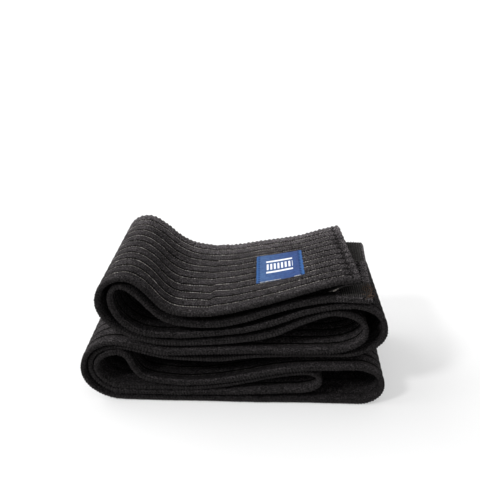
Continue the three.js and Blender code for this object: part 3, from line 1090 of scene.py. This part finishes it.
def label_cloth():
    material, tree, shader = new_material("label_cloth", roughness=0.75, sheen=0.05)
    shader.inputs["Specular IOR Level"].default_value = LABEL_SPECULAR
    u, v = read(tree, "u"), read(tree, "v")
    motif = ladder(tree, u, v)
    turned = tones(tree, sums(tree, "ABSOLUTE", sums(tree, "SUBTRACT", u, 0.5)), *TURNED_TONES)
    field = ramp_node(tree, noise(tree, FIELD_SCALE, detail=3.0, rough=0.6), FIELD_BLUE)
    # Painted sheen lightens the field towards the left.
    field = toned(tree, field, ramp_node(tree, u, FIELD_PAINTED_SHEEN))
    colour = mixed(tree, "MIX", turned, field, TURNED_BLUE)
    colour = mixed(tree, "MIX", motif, colour, LADDER_WHITE)
    tree.links.new(colour, shader.inputs["Base Color"])
    warp = sums(tree, "SINE", sums(tree, "MULTIPLY", u, 2 * math.pi * WARP_COUNT))
    weft = sums(tree, "SINE", sums(tree, "MULTIPLY", v, 2 * math.pi * WEFT_COUNT))
    weave = sums(tree, "ADD", product(tree, warp, weft), product(tree, motif, LADDER_RAISE))
    bump(tree, shader, weave, strength=0.5, distance=WEAVE_REACH)
    return material


LABEL_CLOTH = label_cloth()
print("made", LABEL_CLOTH.name)

# %% Label, its stitches and its frayed edge
LABEL = dict(STRAIGHT, run=TOP_RUN, face=1, thick=0.62, from_x=13.4, to_x=41.2, front=-20.0, back=14.0,
             turn=-3.6, askew=0.9, flare=1.4)
LABEL_STITCH = yarn_material("label_stitch", (0.012, 0.02, 0.07), (0.03, 0.045, 0.12), 900.0)
WHITE_THREAD = yarn_material("white_thread", (0.35, 0.36, 0.38), (0.8, 0.8, 0.8), 700.0)
STITCH_OUT = HALF_THICK + 0.58
STITCH_U = (0.07, 0.935)
STITCH_STEPS = 40
FRAY_OUT = STITCH_OUT - 0.3
FRAY_V = 0.006
# Start and length along the label of each frayed stretch, and its number of steps
FRAYS = [(0.1, 0.4, 20), (0.80, 0.1, 6)]

label = patch("label", LABEL, LABEL_CLOTH, columns=28, rows=30)
stitch_rows = [[pad_spot(LABEL, u, k / STITCH_STEPS, STITCH_OUT) for k in range(1, STITCH_STEPS)]
               for u in STITCH_U]
fray_rows = [[pad_spot(LABEL, start + length * k / steps, FRAY_V, FRAY_OUT) for k in range(steps + 1)]
             for start, length, steps in FRAYS]
label_stitches = beads("label_stitches", stitch_rows, LABEL_STITCH, pitch=2.2, size=(0.4, 1.0, 0.24),
                       facets=(6, 5), uneven=0.12)
label_fray = beads("label_fray", fray_rows, WHITE_THREAD, pitch=0.9, size=(0.6, 0.2, 0.24),
                   facets=(5, 4), uneven=0.3, slant=0.3)

# %% [markdown]
# ## Fastener tape
# The lower end of the band carries two patches of hook tape on its upper face. Each is a dark woven base
# with rows of small hooks, and the rows run across the band. Hair could stand in for the hooks, but it
# isn't a mesh, so the tree stands one bent hook on every point of a grid. Under the upper end lies a
# strip of loop tape. Its loose corner hangs down and shows a pale braided edge.

# %% The tree that stands hooks on a grid
HOOK_SWEEP = math.radians(215)
HOOK_TURN = (math.pi / 2, 0.0, math.pi / 2)
HOOK_SIZES = (0.75, 1.2)
HOOK_SEED = 11


def hook_tree():
    made = new_tree("hook_rows", [("Reach", "Float"), ("Wire", "Float"), ("Cloth", "Material")])
    tree, _, entry = made
    arc = {"Resolution": 6, "Radius": entry["Reach"], "Sweep Angle": HOOK_SWEEP}
    bend = put(tree, "GeometryNodeCurveArc", arc).outputs[0]
    ring = {"Resolution": 4, "Radius": entry["Wire"]}
    wire = put(tree, "GeometryNodeCurvePrimitiveCircle", ring).outputs[0]
    hook = put(tree, "GeometryNodeCurveToMesh", {"Curve": bend, "Profile Curve": wire}).outputs[0]
    hook = put(tree, "GeometryNodeTransform", {"Geometry": hook, "Rotation": HOOK_TURN}).outputs[0]
    facing = attribute(tree, "facing", "FLOAT_VECTOR")
    turn = put(tree, "FunctionNodeAlignRotationToVector", {"Vector": facing}, axis="Z").outputs[0]
    limits = {2: HOOK_SIZES[0], 3: HOOK_SIZES[1], "Seed": HOOK_SEED}
    size = put(tree, "FunctionNodeRandomValue", limits, data_type="FLOAT").outputs[1]
    row = {"Points": entry["Geometry"], "Instance": hook, "Rotation": turn, "Scale": size}
    laid = put(tree, "GeometryNodeInstanceOnPoints", row).outputs[0]
    leave(tree, laid, entry["Cloth"])
    return made


HOOKS = hook_tree()
print("tree", HOOKS[0].name, len(HOOKS[0].nodes), "nodes")

# %% Two patches of hook tape
TAPE_BASE = yarn_material("tape_base", (0.016, 0.0152, 0.0149), (0.046, 0.0436, 0.0424), 900.0)
TAPE_HOOK = yarn_material("tape_hook", (0.03, 0.0284, 0.0275), (0.125, 0.118, 0.114), 500.0, roughness=0.6)
TAPE_EDGE = yarn_material("tape_edge", (0.06, 0.055, 0.05), (0.26, 0.24, 0.22), 700.0)
HOOK_TAPE = dict(STRAIGHT, run=TAPE_RUN, face=-1, thick=0.5)
HOOK_REACH = 0.42
HOOK_WIRE = 0.13
# Hooks stand this far in from the rim and out from the cloth, at these steps along and across the band.
HOOK_INSET = 0.4
HOOK_OUT = 0.36
HOOK_STEP = 1.15
HOOK_ROW = 0.85


def hook_tape(name, from_x, to_x, front, back):
    pad = dict(HOOK_TAPE, from_x=from_x, to_x=to_x, front=front, back=back)
    base = patch(name, pad, TAPE_BASE, columns=24, rows=24)
    spots, facing = [], []
    columns = int((to_x - from_x - 2 * HOOK_INSET) / HOOK_STEP)
    rows = int((back - front - 2 * HOOK_INSET) / HOOK_ROW)
    for i in range(columns + 1):
        stop = run_stop(TAPE_RUN, from_x + HOOK_INSET + HOOK_STEP * i)
        for j in range(rows + 1):
            spots.append([cloth_point(stop, front + HOOK_INSET + HOOK_ROW * j, -HALF_THICK - HOOK_OUT)])
            facing.append(Vector((-stop["nx"], 0.0, -stop["nz"])))
    grid = line_object(name + "_hooks", spots, [("facing", "FLOAT_VECTOR", facing)])
    run_tree(grid, HOOKS, {"Reach": HOOK_REACH * MM, "Wire": HOOK_WIRE * MM, "Cloth": TAPE_HOOK})
    return base, grid


back_tape, back_hooks = hook_tape(
    "hook_tape_back_piece", from_x=60.0, to_x=75.4, front=10.0, back=39.2)
front_tape, front_hooks = hook_tape(
    "hook_tape_front_piece", from_x=60.0, to_x=76.4, front=-37.2, back=-20.0)

# %% The seam beside the back patch, and the loop tape under the upper end
SEAM_THREAD = yarn_material("seam_thread", (0.05, 0.047, 0.045), (0.2, 0.19, 0.18), 900.0)
SEAM_X = 62
SEAM_LENGTH = 15
SEAM_ACROSS = 9.4
SEAM_OUT = 0.2
LOOP_TAPE = dict(STRAIGHT, run=TOP_RUN, face=-1, thick=0.9, from_x=51.0, to_x=69.0, front=-39.4, back=38.6,
                 droop=2.4)
LOOP_EDGE = -39.5
LOOP_EDGE_OUT = 0.45
# Start and length along the tape of its pale curl and of its dark braid, each with its number of steps
CURL = (0.16, 0.2, 14)
BRAID = (0.37, 0.6, 30)


def loop_edge(start, length, steps):
    line = []
    for k in range(steps + 1):
        u = start + length * k / steps
        stop = run_stop(TOP_RUN, LOOP_TAPE["from_x"] + (LOOP_TAPE["to_x"] - LOOP_TAPE["from_x"]) * u)
        droop = LOOP_TAPE["droop"] * ramp(1 - u, *DROOP_SHARE)
        line.append(cloth_point(stop, LOOP_EDGE, -(HALF_THICK + LOOP_EDGE_OUT + droop)))
    return line


seam_stops = [run_stop(TAPE_RUN, SEAM_X + k) for k in range(SEAM_LENGTH)]
seam_line = [cloth_point(stop, SEAM_ACROSS, -HALF_THICK - SEAM_OUT) for stop in seam_stops]
seam = beads("tape_seam", [seam_line], SEAM_THREAD, pitch=1.3, size=(0.7, 0.24, 0.24),
             facets=(6, 4), uneven=0.2)
loop = patch("loop_tape_piece", LOOP_TAPE, TAPE_BASE, columns=26, rows=30)
loop_curl = beads("loop_tape_curl", [loop_edge(*CURL)], TAPE_EDGE, pitch=1.0, size=(0.62, 0.34, 0.42),
                  facets=(6, 5), uneven=0.25, slant=0.6)
loop_braid = beads("loop_tape_braid", [loop_edge(*BRAID)], SELVAGE_YARN, pitch=1.15, size=(0.75, 0.4, 0.5),
                   facets=(6, 5), uneven=0.15, slant=0.5)

# %% [markdown]
# ## Hems and loose fibres
# Both cut ends are turned and sewn, so a row of dark stitches lies a few millimetres inside each end and
# the ribs puff up beyond it. A few fine fibres stand off the fastener, as they do on anything that was
# opened often. Both are thin round threads, so one tree turns any line into a tube. A bevelled curve
# would do too, but the tree gives a plain mesh at once, as for the other yarns.

# %% The tree that turns lines into thread
THREAD_SIDES = 5


def thread_tree():
    made = new_tree("thread_lines", [("Radius", "Float"), ("Cloth", "Material")])
    tree, _, entry = made
    path = put(tree, "GeometryNodeMeshToCurve", {0: entry["Geometry"]}).outputs[0]
    ring = {"Resolution": THREAD_SIDES, "Radius": entry["Radius"]}
    ring = put(tree, "GeometryNodeCurvePrimitiveCircle", ring).outputs[0]
    sweep = {"Curve": path, "Profile Curve": ring, "Fill Caps": True}
    tube = put(tree, "GeometryNodeCurveToMesh", sweep).outputs[0]
    leave(tree, tube, entry["Cloth"])
    return made


THREADS = thread_tree()
print("tree", THREADS[0].name, len(THREADS[0].nodes), "nodes")

# %% Hem stitches
STITCH_PITCH = 1.82
STITCH_ZIGZAG = 1.5
STITCH_MARGIN = 1.0
STITCH_RADIUS = 0.3
UPPER_HEM_X = 64.6
LOWER_HEM_X = 72.2


def hem_line(run, x, face):
    count = int((BAND_WIDTH - 2 * STITCH_MARGIN) / STITCH_PITCH)
    line = []
    for k in range(count + 1):
        across = -HALF_WIDE + STITCH_MARGIN + STITCH_PITCH * k
        stop = run_stop(run, x + STITCH_ZIGZAG * (0.5 if k % 2 else -0.5))
        puff = rib_relief(stop) * (2 * swell(across) - 1) if face > 0 else 0.0
        line.append(cloth_point(stop, across, face * (HALF_THICK * hem_thickness(stop) + puff)))
    return line


hem_lines = [hem_line(TOP_RUN, UPPER_HEM_X, 1), hem_line(TAPE_RUN, LOWER_HEM_X, -1)]
hems = line_object("hem_stitches", hem_lines)
run_tree(hems, THREADS, {"Radius": STITCH_RADIUS * MM, "Cloth": HEM_THREAD})

# %% Loose fibres
FIBRE = yarn_material("loose_fibre", (0.05, 0.032, 0.022), (0.17, 0.105, 0.065), 400.0)
FIBRE_COUNT = 46
FIBRE_RADIUS = 0.07
FIBRE_X = (73.6, 3.2)
FIBRE_ACROSS = (-38.0, 13.0)
FIBRE_OUT = 0.4
FIBRE_STEPS = (0.0, 0.3, 0.6, 0.9, 1.2)
FIBRE_LEAN = 1.3
FIBRE_CURL = 1.2


# Sines of different rates scatter the fibres in the same way each time.
def fibre(k):
    start = 0.5 + 0.5 * math.sin(k * 12.9898)
    side = 0.5 + 0.5 * math.sin(k * 78.233 + 1.0)
    stop = run_stop(TAPE_RUN, FIBRE_X[0] + FIBRE_X[1] * start)
    root = cloth_point(stop, FIBRE_ACROSS[0] + FIBRE_ACROSS[1] * side, -HALF_THICK - FIBRE_OUT)
    lean = Vector((math.sin(k * 3.1), math.sin(k * 5.7 + 2.0) - 0.4, 0.9 + 0.5 * math.sin(k * 1.7))) * MM
    curl = Vector((math.sin(k * 9.1), math.cos(k * 7.3), 0.0)) * MM
    return [root + lean * t * FIBRE_LEAN + curl * t * t * FIBRE_CURL for t in FIBRE_STEPS]


fibres = line_object("loose_fibres", [fibre(k) for k in range(FIBRE_COUNT)])
run_tree(fibres, THREADS, {"Radius": FIBRE_RADIUS * MM, "Cloth": FIBRE})

# %% [markdown]
# ## Floor, light and camera
# The wrap lies on a white ground, with soft light and only a faint shadow to the right. One lamp can't
# give both, so a wide light stands overhead, a wide one comes from the left, and a narrow one from the
# front left throws the shadow. The ground glows a little, which keeps the shadow pale. The camera is set
# by its place and its angles, which were worked out from the perspective across the band's width.

# %% The floor
FLOOR_HALF = 14.0
FLOOR_NEAR = -2.0
FLOOR_FAR = 26.0
FLOOR_Z = -0.0002
FLOOR_GREY = 0.5
FLOOR_GLOW = 0.41
WHITE = (1.0, 1.0, 1.0, 1.0)

corners = [(-FLOOR_HALF, FLOOR_NEAR), (FLOOR_HALF, FLOOR_NEAR),
           (FLOOR_HALF, FLOOR_FAR), (-FLOOR_HALF, FLOOR_FAR)]
floor_mesh = bpy.data.meshes.new("floor")
floor_mesh.from_pydata([(x, y, FLOOR_Z) for x, y in corners], [], [(0, 1, 2, 3)])
floor = add_object("floor", floor_mesh)
floor_material, _, floor_shader = new_material("floor_white", roughness=0.8)
floor_shader.inputs["Base Color"].default_value = (FLOOR_GREY, FLOOR_GREY, FLOOR_GREY, 1.0)
floor_shader.inputs["Emission Color"].default_value = WHITE
floor_shader.inputs["Emission Strength"].default_value = FLOOR_GLOW
floor_mesh.materials.append(floor_material)
print("floor", 2 * FLOOR_HALF, "m wide")

# %% The lights
ROOM_LIGHT = 0.28
# Name, place that the light comes from, strength and spread in degrees
LIGHTS = [
    ("overhead", (-0.15, -0.1, 1.0), 1.3, 100.0),
    ("key", (-1.0, 0.22, 0.74), 2.0, 50.0),
    ("front", (-1.07, -0.69, 1.0), 1.45, 8.0),
]

world = bpy.data.worlds.new("studio")
world.use_nodes = True
room = world.node_tree.nodes["Background"]
room.inputs["Color"].default_value = WHITE
room.inputs["Strength"].default_value = ROOM_LIGHT
bpy.context.scene.world = world
for name, place, strength, spread in LIGHTS:
    lamp = bpy.data.lights.new(name, "SUN")
    lamp.energy = strength
    lamp.angle = math.radians(spread)
    add_object(name, lamp).rotation_euler = (-Vector(place)).to_track_quat("-Z", "Y").to_euler()
print("lights", [row[0] for row in LIGHTS])

# %% The camera
PITCH = math.radians(25.0)
YAW = math.radians(-0.3)
ROLL = math.radians(1.0)
EYE = Vector((0.000861, -0.29475, 0.228))
SENSOR = 36.0
FOCUS_PX = 536.0
PICTURE_PX = 480.0
NEAREST = 0.01

forward = Vector((math.sin(YAW) * math.cos(PITCH), math.cos(YAW) * math.cos(PITCH), -math.sin(PITCH)))
level = Vector((math.cos(YAW), -math.sin(YAW), 0.0))
over = level.cross(forward)
right = level * math.cos(ROLL) + over * math.sin(ROLL)
upward = over * math.cos(ROLL) - level * math.sin(ROLL)
lens = bpy.data.cameras.new("camera")
lens.sensor_width = SENSOR
lens.lens = SENSOR * FOCUS_PX / PICTURE_PX
lens.clip_start = NEAREST
camera = add_object("camera", lens)
camera.matrix_world = Matrix((
    (right.x, upward.x, -forward.x, EYE.x),
    (right.y, upward.y, -forward.y, EYE.y),
    (right.z, upward.z, -forward.z, EYE.z),
    (0.0, 0.0, 0.0, 1.0)))
bpy.context.scene.camera = camera
bpy.context.scene.view_settings.view_transform = "Standard"
print("camera at", [round(v, 3) for v in EYE])

# %% [markdown]
# ## Hang the pieces on the frame
# The real wrap is a sheet of cloth, and the label and the tapes are small sheets laid on the band. The band,
# its yarns and threads, the label and the tapes are grouped, each piece is hung under the root body, and the
# CAD parts that they stand in for are hidden.

slots = {
    "band": [band, front_picks, back_picks, upper_threads, lower_threads, other_threads, hems, fibres],
    "label": [label, label_stitches, label_fray],
    "tape": [back_tape, back_hooks, seam, front_tape, front_hooks, loop, loop_curl, loop_braid],
}
for slot, members in slots.items():
    for piece in members:
        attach(piece, "root")
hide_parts("elastic_band")
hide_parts("label_patch")
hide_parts("hook_tape_back")
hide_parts("hook_tape_front")
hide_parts("loop_tape")
print("pieces declared", sum(len(members) for members in slots.values()))
